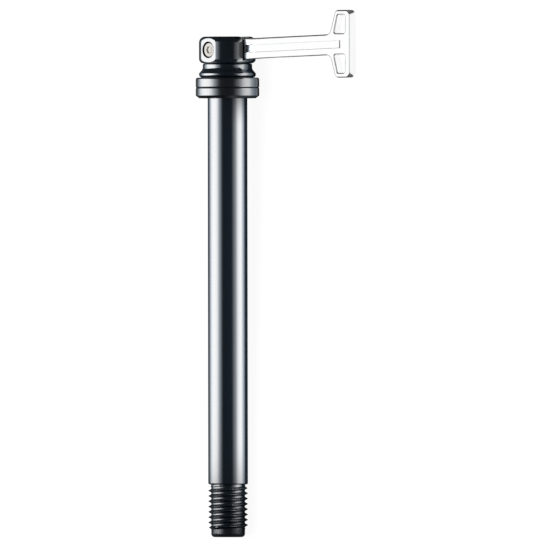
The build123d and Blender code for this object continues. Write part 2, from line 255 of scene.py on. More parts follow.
def circle(x, y, radius, count, start=0.0):
    """Points of a circle."""
    turns = [start + FULL_TURN * index / count for index in range(count)]
    return [(x + radius * math.cos(turn), y + radius * math.sin(turn)) for turn in turns]


def rounded(corners, step=math.radians(7.5), guard=0.04 * MM):
    """A closed outline whose corners, given as (x, y, radius), are rounded with fine arcs.

    A guard point just past each end of an arc keeps the flats beside it evenly shaded.
    """
    points = []
    for index, (x, y, radius) in enumerate(corners):
        here = Vector((x, y))
        if radius <= 0:
            points.append(here)
            continue
        back = (Vector(corners[index - 1][:2]) - here).normalized()
        on = (Vector(corners[(index + 1) % len(corners)][:2]) - here).normalized()
        half = back.angle(on) / 2
        reach = radius / math.tan(half)
        centre = here + (back + on).normalized() * (radius / math.sin(half))
        start = here + back * reach - centre
        end = here + on * reach - centre
        turn = math.copysign(math.pi - 2 * half, start.x * end.y - start.y * end.x)
        steps = max(2, math.ceil(abs(turn) / step))
        points.append(centre + start + back * guard)
        for count in range(steps + 1):
            points.append(centre + Matrix.Rotation(turn * count / steps, 2) @ start)
        points.append(centre + end + on * guard)
    return points


def turned(profile, segments):
    """A shape made by turning a closed profile of (radius, height) points round Z."""
    shape = bmesh.new()
    rings = []
    for radius, height in profile:
        spots = [(0, 0)]
        if radius > 0.001 * MM:
            spots = circle(0, 0, radius, segments, math.pi / segments)
        rings.append([shape.verts.new((x, y, height)) for x, y in spots])
    for low, high in zip(rings, rings[1:] + rings[:1]):
        for here in range(segments):
            on = here + 1
            corners = [low[here % len(low)], low[on % len(low)], high[on % len(high)], high[here % len(high)]]
            corners = list(dict.fromkeys(corners))
            if len(corners) > 2:
                shape.faces.new(corners)
    return shape


def walled(shape, near, far):
    """Join two rings of as many points by a wall."""
    for here in range(len(near)):
        on = (here + 1) % len(near)
        shape.faces.new((near[here], near[on], far[on], far[here]))


def between(*outlines):
    """A shape that fills the space between two outlines of as many points."""
    shape = bmesh.new()
    rings = [[shape.verts.new(point) for point in outline] for outline in outlines]
    for ring in rings:
        shape.faces.new(ring)
    walled(shape, *rings)
    return shape


def prism(corners, low, high):
    """A prism across Y from (x, z) corners, between two distances along Y."""
    return between(*[[(x, y, z) for x, z in corners] for y in (low, high)])


def inset(loop, distance):
    """A closed loop moved to its left by a distance, with mitred corners."""
    least_share = 0.3
    moved = []
    for index, here in enumerate(loop):
        back = (here - loop[index - 1]).normalized()
        on = (loop[(index + 1) % len(loop)] - here).normalized()
        left_on = Vector((-on.y, on.x))
        mitre = (Vector((-back.y, back.x)) + left_on).normalized()
        moved.append(here + mitre * (distance / max(mitre.dot(left_on), least_share)))
    return moved


def plate(loops, half_thickness, edge, steps, guard=0.05 * MM):
    """A plate in the XZ plane with rounded edges. Outer loops run anticlockwise and holes clockwise."""
    levels = [(0.0, half_thickness - edge - guard)]
    for count in range(steps + 1):
        angle = math.pi / 2 * count / steps
        levels.append((edge * (1 - math.cos(angle)), half_thickness - edge + edge * math.sin(angle)))
    levels.append((edge + guard, half_thickness))
    levels = [(inward, -depth) for inward, depth in reversed(levels)] + levels
    shape = bmesh.new()
    ends = {0: [], len(levels) - 1: []}
    for loop in loops:
        before = None
        for index, (inward, depth) in enumerate(levels):
            ring = [shape.verts.new((p.x, depth, p.y)) for p in inset(loop, inward)]
            if before:
                walled(shape, before, ring)
            if index in ends:
                for pair in zip(ring, ring[1:] + ring[:1]):
                    ends[index].append(shape.edges.get(pair) or shape.edges.new(pair))
            before = ring
    for edges in ends.values():
        bmesh.ops.triangle_fill(shape, use_beauty=True, edges=edges)
    return shape


def cleaned(shape, name):
    """The mesh of a shape, with its doubles merged and its faces turned outwards."""
    bmesh.ops.remove_doubles(shape, verts=shape.verts, dist=0.0005 * MM)
    bmesh.ops.recalc_face_normals(shape, faces=shape.faces)
    return plain_mesh(shape, name)


def plain_mesh(shape, name):
    """The mesh of a shape as it is."""
    mesh = bpy.data.meshes.new(name)
    shape.to_mesh(mesh)
    shape.free()
    return mesh


def placed(name, data):
    """An object at the origin of the scene."""
    piece = bpy.data.objects.new(name, data)
    bpy.context.scene.collection.objects.link(piece)
    return piece


def evaluated_mesh(piece):
    """The plain mesh of an object with its modifiers applied."""
    depsgraph = bpy.context.evaluated_depsgraph_get()
    return bpy.data.meshes.new_from_object(piece.evaluated_get(depsgraph))


def removed(*helpers):
    """Take helper objects and their meshes away again."""
    for helper in helpers:
        mesh = helper.data
        bpy.data.objects.remove(helper)
        bpy.data.meshes.remove(mesh)


def finished(name, shape, sharp=math.radians(28)):
    """An object from a shape or mesh drawn upright: laid down, with sharp corners kept."""
    mesh = cleaned(shape, name) if isinstance(shape, bmesh.types.BMesh) else shape
    mesh.transform(LAID_DOWN)
    mesh.shade_smooth()
    mesh.set_sharp_from_angle(angle=sharp)
    piece = placed(name, mesh)
    # large faces keep their own normals, and the small ones beside them take up the turn
    weighting = piece.modifiers.new("normals", "WEIGHTED_NORMAL")
    weighting.keep_sharp = True
    piece.data = evaluated_mesh(piece)
    piece.data.name = name
    piece.modifiers.clear()
    bpy.data.meshes.remove(mesh)
    return piece


def carved(shape, cutters, edge=0.0):
    """The mesh of a shape with cutters taken away, and its fresh edges broken."""
    body = placed("blank", cleaned(shape, "blank"))
    tools = [placed(f"cutter_{index}", cleaned(tool, "cutter")) for index, tool in enumerate(cutters)]
    for tool in tools:
        cut = body.modifiers.new(tool.name, "BOOLEAN")
        cut.operation = "DIFFERENCE"
        cut.solver = "EXACT"
        cut.object = tool
    if edge:
        bevel = body.modifiers.new("edges", "BEVEL")
        bevel.width = edge
        bevel.segments = 2
        bevel.limit_method = "ANGLE"
        bevel.angle_limit = math.radians(32)
        bevel.use_clamp_overlap = True
    mesh = evaluated_mesh(body)
    removed(body, *tools)
    return mesh


# Node tools

FLOAT = "NodeSocketFloat"
WHOLE = "NodeSocketInt"
VECTOR = "NodeSocketVector"
GEOMETRY = "NodeSocketGeometry"
MATERIAL = "NodeSocketMaterial"


def add(tree, kind, inputs=None, **settings):
    """Add a node, with its settings, and with its inputs set or linked."""
    node = tree.nodes.new(kind)
    for name, value in settings.items():
        setattr(node, name, value)
    for socket, value in (inputs or {}).items():
        if isinstance(value, bpy.types.NodeSocket):
            tree.links.new(value, node.inputs[socket])
        else:
            node.inputs[socket].default_value = value
    return node


def output(tree, kind, inputs=None, **settings):
    """The first output of a new node."""
    return add(tree, kind, inputs, **settings).outputs[0]


def sums(tree, operation, first, second=0.0, third=0.0):
    """The output of a Math node."""
    return output(tree, "ShaderNodeMath", {0: first, 1: second, 2: third}, operation=operation)


def axes_of(tree, vector):
    """The X, Y and Z of a vector."""
    return add(tree, "ShaderNodeSeparateXYZ", {0: vector}).outputs


def vector_of(tree, **axes):
    """A vector from its X, Y and Z. The ones left out are 0."""
    return output(tree, "ShaderNodeCombineXYZ", axes)


def new_tree(name, kind, inputs, outputs):
    """A node group, with the sockets that its nodes read and the ones that they feed.

    An input is given as its default number, or as its socket type where it has no default.
    """
    tree = bpy.data.node_groups.new(name, kind)
    for label, value in inputs.items():
        socket_type = {float: FLOAT, int: WHOLE}.get(type(value), value)
        socket = tree.interface.new_socket(label, in_out="INPUT", socket_type=socket_type)
        if socket_type != value:
            socket.default_value = value
    for label, socket_type in outputs.items():
        tree.interface.new_socket(label, in_out="OUTPUT", socket_type=socket_type)
    return tree, add(tree, "NodeGroupInput").outputs, add(tree, "NodeGroupOutput").inputs


def end_tree(tree, geometry, get, made):
    """End a tree of geometry nodes with real geometry in the given material."""
    real = output(tree, "GeometryNodeRealizeInstances", {"Geometry": geometry})
    dressed = output(tree, "GeometryNodeSetMaterial", {"Geometry": real, "Material": get["Material"]})
    tree.links.new(dressed, made["Mesh"])


def thread_tree():
    """Geometry nodes that join a screw thread to a turned body with a gap in it."""
    inputs = {
        "Body": GEOMETRY,
        "Lower End": -0.1629,
        "Upper End": -0.1465,
        "Pitch": 0.002,
        "Phase": 0.2,
        "Crest Radius": 0.0075,
        "Root Radius": 0.0064,
        "Crest Width": 0.0001,
        "Flank Slope": 1.73,
        "Lower End Radius": 0.0064,
        "Upper End Radius": 0.00645,
        "Lower Run-in": 0.001,
        "Upper Run-in": 0.001,
        "Root Softness": 0.0002,
        "Segments": 160,
        "Rows per Turn": 20,
        "Material": MATERIAL,
    }
    tree, get, made = new_tree("screw thread", "GeometryNodeTree", inputs, {"Mesh": GEOMETRY})
    calc = partial(sums, tree)
    low, high, pitch = get["Lower End"], get["Upper End"], get["Pitch"]
    spare_turns = 2.0
    turns = calc("ADD", calc("CEIL", calc("DIVIDE", calc("SUBTRACT", high, low), pitch)), spare_turns)
    rows = calc("MULTIPLY", turns, get["Rows per Turn"])
    counts = {"Vertices X": calc("ADD", get["Segments"], 1.0), "Vertices Y": calc("ADD", rows, 1.0)}
    grid = output(tree, "GeometryNodeMeshGrid", {"Size X": 1.0, "Size Y": 1.0, **counts})
    apart = axes_of(tree, output(tree, "GeometryNodeInputPosition"))
    round_share = calc("ADD", apart["X"], 0.5)
    row_turns = calc("MULTIPLY", calc("ADD", apart["Y"], 0.5), turns)
    # height of the row, which climbs by a pitch in one turn
    climbed = calc("SUBTRACT", calc("ADD", row_turns, round_share), spare_turns)
    climbed = calc("ADD", climbed, get["Phase"])
    height = calc("MULTIPLY_ADD", climbed, pitch, low)
    height = calc("MAXIMUM", calc("MINIMUM", height, high), low)
    # distance from the nearest crest, which lies half a pitch above each row that counts whole turns;
    # whole turns are added, so that the sum stays above zero
    whole_turns = 8.0
    in_pitches = calc("DIVIDE", calc("SUBTRACT", height, low), pitch)
    along = calc("SUBTRACT", calc("SUBTRACT", in_pitches, round_share), get["Phase"])
    off_crest = calc("SUBTRACT", calc("FRACT", calc("ADD", along, whole_turns)), 0.5)
    off_crest = calc("MULTIPLY", calc("ABSOLUTE", off_crest), pitch)
    off_flank = calc("SUBTRACT", off_crest, calc("MULTIPLY", get["Crest Width"], 0.5))
    fall = calc("MULTIPLY", calc("MAXIMUM", off_flank, 0.0), get["Flank Slope"])
    radius = calc("SUBTRACT", get["Crest Radius"], fall)
    radius = calc("SMOOTH_MAX", radius, get["Root Radius"], get["Root Softness"])
    off_ends = {"Lower": calc("SUBTRACT", height, low), "Upper": calc("SUBTRACT", high, height)}
    for end, off_end in off_ends.items():
        end_radius = get[f"{end} End Radius"]
        growth = calc("SUBTRACT", get["Crest Radius"], end_radius)
        growth = calc("DIVIDE", growth, get[f"{end} Run-in"])
        radius = calc("MINIMUM", radius, calc("MULTIPLY_ADD", off_end, growth, end_radius))
    # half a segment on, as the turned body's own points are
    half_segment = calc("DIVIDE", 0.5, get["Segments"])
    angle = calc("MULTIPLY", calc("ADD", round_share, half_segment), FULL_TURN)
    x = calc("MULTIPLY", radius, calc("COSINE", angle))
    y = calc("MULTIPLY", radius, calc("SINE", angle))
    spot = vector_of(tree, X=x, Y=y, Z=height)
    wound = output(tree, "GeometryNodeSetPosition", {"Geometry": grid, "Position": spot})
    joined = add(tree, "GeometryNodeJoinGeometry")
    tree.links.new(wound, joined.inputs[0])
    tree.links.new(get["Body"], joined.inputs[0])
    close = {"Geometry": joined.outputs[0], "Distance": 0.002 * MM}
    end_tree(tree, output(tree, "GeometryNodeMergeByDistance", close), get, made)
    return tree


def teeth_tree():
    """Geometry nodes that cut radial gaps round the lower face of a ring."""
    inputs = {
        "Ring": GEOMETRY,
        "Teeth": 48,
        "Gap Width": 0.001,
        "Gap Depth": 0.0005,
        "Inner Radius": 0.00855,
        "Outer Radius": 0.0125,
        "Material": MATERIAL,
    }
    tree, get, made = new_tree("radial teeth", "GeometryNodeTree", inputs, {"Mesh": GEOMETRY})
    calc = partial(sums, tree)
    # a three-sided bar lying along X, its ridge up, as wide as the gap where the face is
    three_sided = {"Vertices": 3, "Side Segments": 1, "Radius": 1.0, "Depth": 1.0}
    bar = output(tree, "GeometryNodeMeshCylinder", three_sided)
    reach = calc("SUBTRACT", get["Outer Radius"], get["Inner Radius"])
    middle = calc("MULTIPLY", calc("ADD", get["Outer Radius"], get["Inner Radius"]), 0.5)
    # the bar's section is a triangle of base sqrt(3) and height 1.5, scaled to twice the gap
    wide = calc("DIVIDE", calc("MULTIPLY", get["Gap Width"], 2.0), math.sqrt(3))
    tall = calc("DIVIDE", calc("MULTIPLY", get["Gap Depth"], 2.0), 1.5)
    scale = vector_of(tree, X=tall, Y=wide, Z=reach)
    bar = output(tree, "GeometryNodeTransform", {"Geometry": bar, "Scale": scale})
    low = calc("SUBTRACT", get["Gap Depth"], tall)
    place = vector_of(tree, X=middle, Z=low)
    lie = {"Rotation": (0.0, -math.pi / 2, 0.0), "Translation": place}
    bar = output(tree, "GeometryNodeTransform", {"Geometry": bar, **lie})
    spots = output(tree, "GeometryNodeMeshCircle", {"Vertices": get["Teeth"], "Radius": 1.0})
    gather = {"Geometry": spots, "Position": (0.0, 0.0, 0.0)}
    spots = output(tree, "GeometryNodeSetPosition", gather)
    index = output(tree, "GeometryNodeInputIndex")
    turn = calc("DIVIDE", calc("MULTIPLY", index, FULL_TURN), get["Teeth"])
    spread_out = {"Points": spots, "Instance": bar, "Rotation": vector_of(tree, Z=turn)}
    bars = output(tree, "GeometryNodeInstanceOnPoints", spread_out)
    bars = output(tree, "GeometryNodeRealizeInstances", {"Geometry": bars})
    cut = {"Mesh 1": get["Ring"], "Mesh 2": bars}
    cut = output(tree, "GeometryNodeMeshBoolean", cut, operation="DIFFERENCE", solver="EXACT")
    end_tree(tree, cut, get, made)
    return tree


def grown(shape, tree, values):
    """The shape that a tree of geometry nodes makes from another, with the tree's inputs set."""
    body = placed("blank", cleaned(shape, "blank"))
    growth = body.modifiers.new(tree.name, "NODES")
    growth.node_group = tree
    for item in tree.interface.items_tree:
        if item.item_type == "SOCKET" and item.in_out == "INPUT" and item.name in values:
            growth[item.identifier] = values[item.name]
    mesh = evaluated_mesh(body)
    removed(body)
    made = bmesh.new()
    made.from_mesh(mesh)
    bpy.data.meshes.remove(mesh)
    return made


# Materials

def upright_place(tree):
    """Object coordinates turned upright, with Z along the axle."""
    place = add(tree, "ShaderNodeTexCoord").outputs["Object"]
    turn_back = {"Vector": place, "Rotation": UPRIGHT.to_euler("XYZ")}
    return output(tree, "ShaderNodeMapping", turn_back, vector_type="POINT")


def turning_group():
    """Fine lines left by the lathe, which run round the axle on barrels and faces alike."""
    if "turning lines" in bpy.data.node_groups:
        return bpy.data.node_groups["turning lines"]
    inputs = {"Place": VECTOR, "Lines per Metre": 9000.0, "Unevenness": 0.5}
    outputs = {"Height": FLOAT, "Tone": FLOAT}
    tree, get, made = new_tree("turning lines", "ShaderNodeTree", inputs, outputs)
    apart = axes_of(tree, get["Place"])
    flat = vector_of(tree, X=apart["X"], Y=apart["Y"])
    outwards = add(tree, "ShaderNodeVectorMath", {0: flat}, operation="LENGTH").outputs["Value"]
    track = sums(tree, "MULTIPLY", sums(tree, "ADD", apart["Z"], outwards), get["Lines per Metre"])
    fine = {"W": track, "Scale": 1.0, "Detail": 2.0}
    fine = output(tree, "ShaderNodeTexNoise", fine, noise_dimensions="1D")
    broad = output(tree, "ShaderNodeTexNoise", {"Vector": get["Place"], "Scale": 240.0, "Detail": 3.0})
    blend = sums(tree, "MULTIPLY", broad, get["Unevenness"])
    evenness = sums(tree, "SUBTRACT", 1.0, get["Unevenness"])
    tree.links.new(fine, made["Height"])
    tree.links.new(sums(tree, "MULTIPLY_ADD", fine, evenness, blend), made["Tone"])
    return tree


def dust_group():
    """Sparse specks of dust."""
    if "dust" in bpy.data.node_groups:
        return bpy.data.node_groups["dust"]
    inputs = {"Place": VECTOR, "Cells per Metre": 260.0, "Speck Size": 0.06, "Amount": 0.04}
    tree, get, made = new_tree("dust", "ShaderNodeTree", inputs, {"Mask": FLOAT})
    scatter = {"Vector": get["Place"], "Scale": get["Cells per Metre"]}
    cells = add(tree, "ShaderNodeTexVoronoi", scatter).outputs
    near = sums(tree, "LESS_THAN", cells["Distance"], get["Speck Size"])
    pick = output(tree, "ShaderNodeSeparateColor", {0: cells["Color"]})
    rare = sums(tree, "LESS_THAN", pick, get["Amount"])
    tree.links.new(sums(tree, "MULTIPLY", near, rare), made["Mask"])
    return tree


def scratch_group():
    """Fine polishing marks that run along the lever."""
    if "polishing marks" in bpy.data.node_groups:
        return bpy.data.node_groups["polishing marks"]
    inputs = {"Place": VECTOR, "Fineness": 6000.0, "Length": 90.0}
    tree, get, made = new_tree("polishing marks", "ShaderNodeTree", inputs, {"Height": FLOAT})
    apart = axes_of(tree, get["Place"])
    stretch = {"X": get["Length"], "Y": get["Fineness"], "Z": get["Fineness"]}
    stretch = {axis: sums(tree, "MULTIPLY", apart[axis], scale) for axis, scale in stretch.items()}
    marks = {"Vector": vector_of(tree, **stretch), "Scale": 1.0, "Detail": 3.0, "Roughness": 0.6}
    tree.links.new(output(tree, "ShaderNodeTexNoise", marks), made["Height"])
    return tree


def plain_material(name):
    """A material, its tree, and the inputs of its shader."""
    material = bpy.data.materials.new(name)
    material.use_nodes = True
    return material, material.node_tree, material.node_tree.nodes["Principled BSDF"].inputs


def group(tree, made, inputs):
    """The outputs of a node group placed in a material."""
    return add(tree, "ShaderNodeGroup", inputs, node_tree=made).outputs


def spread(tree, value, low, high):
    """A value from 0 to 1 mapped to a range."""
    return output(tree, "ShaderNodeMapRange", {"Value": value, "To Min": low, "To Max": high})


def blended(tree, factor, low, high):
    """A blend of two colours. The Mix node repeats its socket names, so they are set by place."""
    inputs = {"Factor": factor, 6: low, 7: high}
    return add(tree, "ShaderNodeMix", inputs, data_type="RGBA").outputs[2]


def shade(base, part):
    """A colour made darker or lighter."""
    return (*[min(1.0, c * part) for c in base], 1.0)


def bumped(tree, shader, height, strength, depth):
    """Give a shader the bumps of a height, with the greatest depth in millimetres."""
    inputs = {"Strength": strength, "Distance": depth * MM, "Height": height}
    tree.links.new(output(tree, "ShaderNodeBump", inputs), shader["Normal"])


def turned_black(name, base, roughness, ior, lines, bump, dusty, cut_below, cut_roughness, cut_dull=0.0):
    """Black anodised aluminium with turning lines and a few specks of dust.

    Below the height cut_below it is rougher by cut_roughness, as cut threads and teeth are, and
    it loses the share cut_dull of its shine, because a metal this dark hardly mirrors.
    """
    material, tree, shader = plain_material(name)
    place = upright_place(tree)
    marks = group(tree, turning_group(), {"Place": place, "Lines per Metre": lines, "Unevenness": 0.45})
    dust = group(tree, dust_group(), {"Place": place, "Amount": dusty})["Mask"]
    dust_colour = (0.5, 0.49, 0.46, 1.0)
    tint = blended(tree, marks["Tone"], shade(base, 0.85), shade(base, 1.2))
    tree.links.new(blended(tree, dust, tint, dust_colour), shader["Base Color"])
    rough = spread(tree, marks["Tone"], roughness * 0.8, roughness * 1.25)
    cut = sums(tree, "LESS_THAN", axes_of(tree, place)["Z"], cut_below)
    tree.links.new(sums(tree, "MULTIPLY_ADD", cut, cut_roughness, rough), shader["Roughness"])
    if cut_dull:
        tree.links.new(sums(tree, "MULTIPLY", cut, cut_dull), shader["Metallic"])
    bumped(tree, shader, marks["Height"], bump, 0.01)
    shader["IOR"].default_value = ior
    return material


def polished(name, base):
    """Polished aluminium with fine marks along the lever."""
    material, tree, shader = plain_material(name)
    place = upright_place(tree)
    marks = group(tree, scratch_group(), {"Place": place})["Height"]
    cloud = output(tree, "ShaderNodeTexNoise", {"Vector": place, "Scale": 90.0, "Detail": 3.0})
    tree.links.new(spread(tree, cloud, 0.09, 0.17), shader["Roughness"])
    bumped(tree, shader, marks, 0.12, 0.004)
    tree.links.new(blended(tree, marks, shade(base, 0.98), shade(base, 1.02)), shader["Base Color"])
    shader["Metallic"].default_value = 1.0
    return material


def grained(name, base, metallic, roughness, grains, shine=0.5):
    """A small piece's finish: a fine even grain."""
    material, tree, shader = plain_material(name)
    place = upright_place(tree)
    grain = output(tree, "ShaderNodeTexNoise", {"Vector": place, "Scale": grains, "Detail": 4.0})
    tree.links.new(blended(tree, grain, shade(base, 0.9), shade(base, 1.1)), shader["Base Color"])
    tree.links.new(spread(tree, grain, roughness * 0.8, roughness * 1.2), shader["Roughness"])
    bumped(tree, shader, grain, 0.15, 0.01)
    shader["Metallic"].default_value = metallic
    shader["Specular IOR Level"].default_value = shine
    return material


def material_of(slot):
    """A slot's finish, made when it is first asked for.

    The frame's own plain materials have the bare name.
    """
    name = f"{slot} finish"
    if name in bpy.data.materials:
        return bpy.data.materials[name]
    scene = bpy.context.scene
    look = scene.thru_axle_finishes
    if slot == "black_anodised":
        cut = {"cut_below": -scene.thru_axle_shaft.thread_start, "cut_roughness": 0.09}
        return turned_black(name, look.black, 0.14, ior=1.72, lines=7000.0, bump=0.1, dusty=0.02, **cut)
    if slot == "black_ring":
        cut = {"cut_below": scene.thru_axle_rings.washer_bevel_along, "cut_roughness": 0.22, "cut_dull": 0.7}
        return turned_black(name, look.ring_black, 0.2, ior=1.7, lines=5200.0, bump=0.4, dusty=0.05, **cut)
    if slot == "polished_lever":
        return polished(name, look.polish)
    base, metallic, roughness, grains, shine = {
        "steel_screw": (look.screw, 1.0, 0.28, 2400.0, 0.5),
        "spring_steel": (look.spring, 1.0, 0.3, 2000.0, 0.5),
        "bush_bronze": (look.bronze, 1.0, 0.35, 2000.0, 0.5),
        "slip_plastic": (look.plastic, 0.0, 0.7, 3000.0, 0.05),
        "seal_rubber": (look.rubber, 0.0, 0.6, 3000.0, 0.2),
    }[slot]
    return grained(name, base, metallic, roughness, grains, shine)


def receivers(name):
    """A collection of the pieces that a lamp lights."""
    if name not in bpy.data.collections:
        bpy.data.collections.new(name)
    return bpy.data.collections[name]


def light(piece, slot, node):
    """Put a piece under the lamps that are meant for it."""
    if slot in ("polished_lever", "steel_screw"):
        receivers("bright pieces").objects.link(piece)
        return
    receivers("black pieces").objects.link(piece)
    receivers("shaft" if node == "axle_shaft" else "rings and head").objects.link(piece)


def install(piece, body, node, slot):
    """Give a piece its body and its finish, and hide the CAD node that it stands for."""
    if not piece.data.materials:
        piece.data.materials.append(material_of(slot))
    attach(piece, body)
    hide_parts(node)
    light(piece, slot, node)


# Pieces

class ThruAxleAddShaft(bpy.types.Operator):
    """Build the hollow shaft with its thread"""

    bl_idname = "thru_axle.add_shaft"
    bl_label = "Shaft"

    def execute(self, context):
        s = context.scene.thru_axle_shaft
        segments = 160
        crest, relief, tip = s.diameter / 2, s.relief / 2, s.tip / 2
        journal, groove = s.journal / 2, s.journal_relief / 2
        seat, bore = s.seat_bore / 2, s.bore / 2
        low = -s.thread_end - s.tip_length
        seat_floor = s.top - s.seat_depth
        # small rounds of the seat's mouth, the shoulder's edge and foot, and the bore's mouth
        seat_mouth, shoulder_edge, shoulder_foot, bore_mouth = 0.2 * MM, 0.12 * MM, 0.1 * MM, 0.4 * MM
        body = turned(
            rounded([
                (seat, s.top, seat_mouth),
                (journal, s.top, s.shoulder_bevel),
                (journal, s.journal_relief_length, 0),
                (groove, s.journal_relief_length, 0),
                (groove, 0, 0),
                (crest, 0, 0),
                (crest, -s.shoulder + s.shoulder_bevel, shoulder_edge),
                (crest - s.shoulder_bevel, -s.shoulder, 0),
                (relief, -s.shoulder, shoulder_foot),
                (relief, -s.thread_start, 0),
                (tip, -s.thread_end, 0),
                (tip, low, s.tip_round),
                (bore, low, bore_mouth),
                (bore, seat_floor, 0),
                (seat, seat_floor, 0),
            ]),
            segments,
        )
        # the strip between the relief and the tip gives way to the thread
        gap = []
        for face in body.faces:
            middle = face.calc_center_median()
            if -s.thread_end < middle.z < -s.thread_start and middle.xy.length > seat + MM:
                gap.append(face)
        bmesh.ops.delete(body, geom=gap, context="FACES_ONLY")
        sizes = {
            "Lower End": -s.thread_end,
            "Upper End": -s.thread_start,
            "Pitch": s.thread_pitch,
            "Crest Radius": crest,
            "Root Radius": s.thread_root / 2,
            "Lower End Radius": tip,
            "Upper End Radius": relief,
            "Segments": segments,
            "Material": material_of("black_anodised"),
        }
        pin_hole = prism(circle(0, s.pin_height, s.pin_hole / 2, 32), -s.diameter, s.diameter)
        mesh = carved(grown(body, thread_tree(), sizes), [pin_hole])
        install(finished("shaft", mesh, math.radians(24)), "axle", "axle_shaft", "black_anodised")
        return {"FINISHED"}


class ThruAxleAddRings(bpy.types.Operator):
    """Build the serrated washer, the thrust ring and the collar"""

    bl_idname = "thru_axle.add_rings"
    bl_label = "Rings and collar"

    def execute(self, context):
        s = context.scene.thru_axle_rings
        outer, bore, groove = s.diameter / 2, s.bore / 2, s.washer_groove / 2
        segments = 288
        bevel_round, past_rim = 0.15 * MM, 0.5 * MM
        washer = [
            (bore, 0, 0),
            (outer - s.washer_bevel_across, 0, 0),
            (outer, s.washer_bevel_along, bevel_round),
            (outer, s.washer, s.seam_round),
            (bore, s.washer, 0),
            (bore, s.washer_groove_high, 0),
            (groove, s.washer_groove_high, 0),
            (groove, s.washer_groove_low, 0),
            (bore, s.washer_groove_low, 0),
        ]
        sizes = {
            "Teeth": s.teeth,
            "Gap Width": s.tooth_gap,
            "Gap Depth": s.tooth_depth,
            "Inner Radius": bore + s.land,
            "Outer Radius": outer + past_rim,
            "Material": material_of("black_ring"),
        }
        piece = finished("clamp_washer", grown(turned(rounded(washer), segments), teeth_tree(), sizes))
        install(piece, "washer", "serrated_washer", "black_ring")

        thrust = [
            (bore, s.thrust_low, 0),
            (outer, s.thrust_low, s.seam_round),
            (outer, s.thrust_high, s.thrust_round),
            (bore, s.thrust_high, 0),
        ]
        piece = finished("loose_ring", turned(rounded(thrust), segments))
        install(piece, "thrust_ring", "thrust_ring", "black_ring")

        shaft = context.scene.thru_axle_shaft
        flare, neck, seal = s.flare / 2, s.neck / 2, s.seal / 2
        play = 0.05 * MM
        inner, over_journal = shaft.seat_bore / 2, shaft.journal / 2 + play
        collar = [
            (inner, shaft.top, 0),
            (over_journal, shaft.top, 0),
            (over_journal, s.collar_low, 0),
            (flare, s.collar_low, s.flare_foot_round),
            (flare, s.flare_high, s.flare_top_round),
            (neck, s.neck_low, s.neck_foot_round),
            (neck, s.collar_high, s.neck_top_round),
            (inner, s.collar_high, 0),
            (inner, s.seal_high, 0),
            (seal, s.seal_high, 0),
            (seal, s.seal_low, 0),
            (inner, s.seal_low, 0),
        ]
        piece = finished("collar", turned(rounded(collar), 224))
        install(piece, "axle", "flange_collar", "black_anodised")
        return {"FINISHED"}


class ThruAxleAddHead(bpy.types.Operator):
    """Build the slotted head with its stem"""

    bl_idname = "thru_axle.add_head"
    bl_label = "Slotted head"

    def execute(self, context):
        s = context.scene.thru_axle_head
        shaft = context.scene.thru_axle_shaft
        collar_high = context.scene.thru_axle_rings.collar_high
        outer, boss, stem = s.diameter / 2, s.boss / 2, s.stem / 2
        stem_round = 0.4 * MM
        profile = [
            (0, s.high, 0),
            (outer, s.high, s.top_round),
            (outer, s.low, s.foot_round),
            (boss, s.low, 0),
            (boss, collar_high, 0),
            (stem, collar_high, 0),
            (stem, s.stem_end, stem_round),
            (0, s.stem_end, 0),
        ]
        half_slot = s.slot / 2
        back = half_slot - s.slot_back
        # cutters reach this far, so that they come out of the head
        beyond, above, below = outer + MM, s.high + MM, s.low - MM
        slot = [(beyond, -half_slot), (beyond, half_slot)]
        steps = 24
        for index in range(steps + 1):
            angle = math.pi / 2 + math.pi * index / steps
            slot.append((back + half_slot * math.cos(angle), half_slot * math.sin(angle)))
        block = [(-beyond, below), (beyond, below), (beyond, above), (-beyond, above)]
        cutters = [
            between(*[[(x, y, z) for x, y in slot] for z in (s.slot_floor, above)]),
            prism(block, -beyond, -s.flat),
        ]
        # play round the screw's shoulder, at its end and round the thread, and the hole's spare depth
        shoulder_play, end_play, thread_play, spare = 0.05 * MM, 0.02 * MM, 0.01 * MM, 0.5 * MM
        for height, radius, points, low, high in (
            (PIVOT_HEIGHT, s.pocket / 2, 72, -beyond, -s.pocket_floor),
            (PIVOT_HEIGHT, s.shoulder / 2 + shoulder_play, 48, -beyond, s.shoulder_end + end_play),
            (PIVOT_HEIGHT, s.screw_thread / 2 + thread_play, 48, 0, s.screw_end + spare),
            (shaft.pin_height, shaft.pin_hole / 2, 32, -beyond, beyond),
        ):
            cutters.append(prism(circle(0, height, radius, points), low, high))
        mesh = carved(turned(rounded(profile, step=math.radians(6)), 208), cutters, s.edge)
        install(finished("head", mesh), "axle", "clevis_head", "black_anodised")
        return {"FINISHED"}


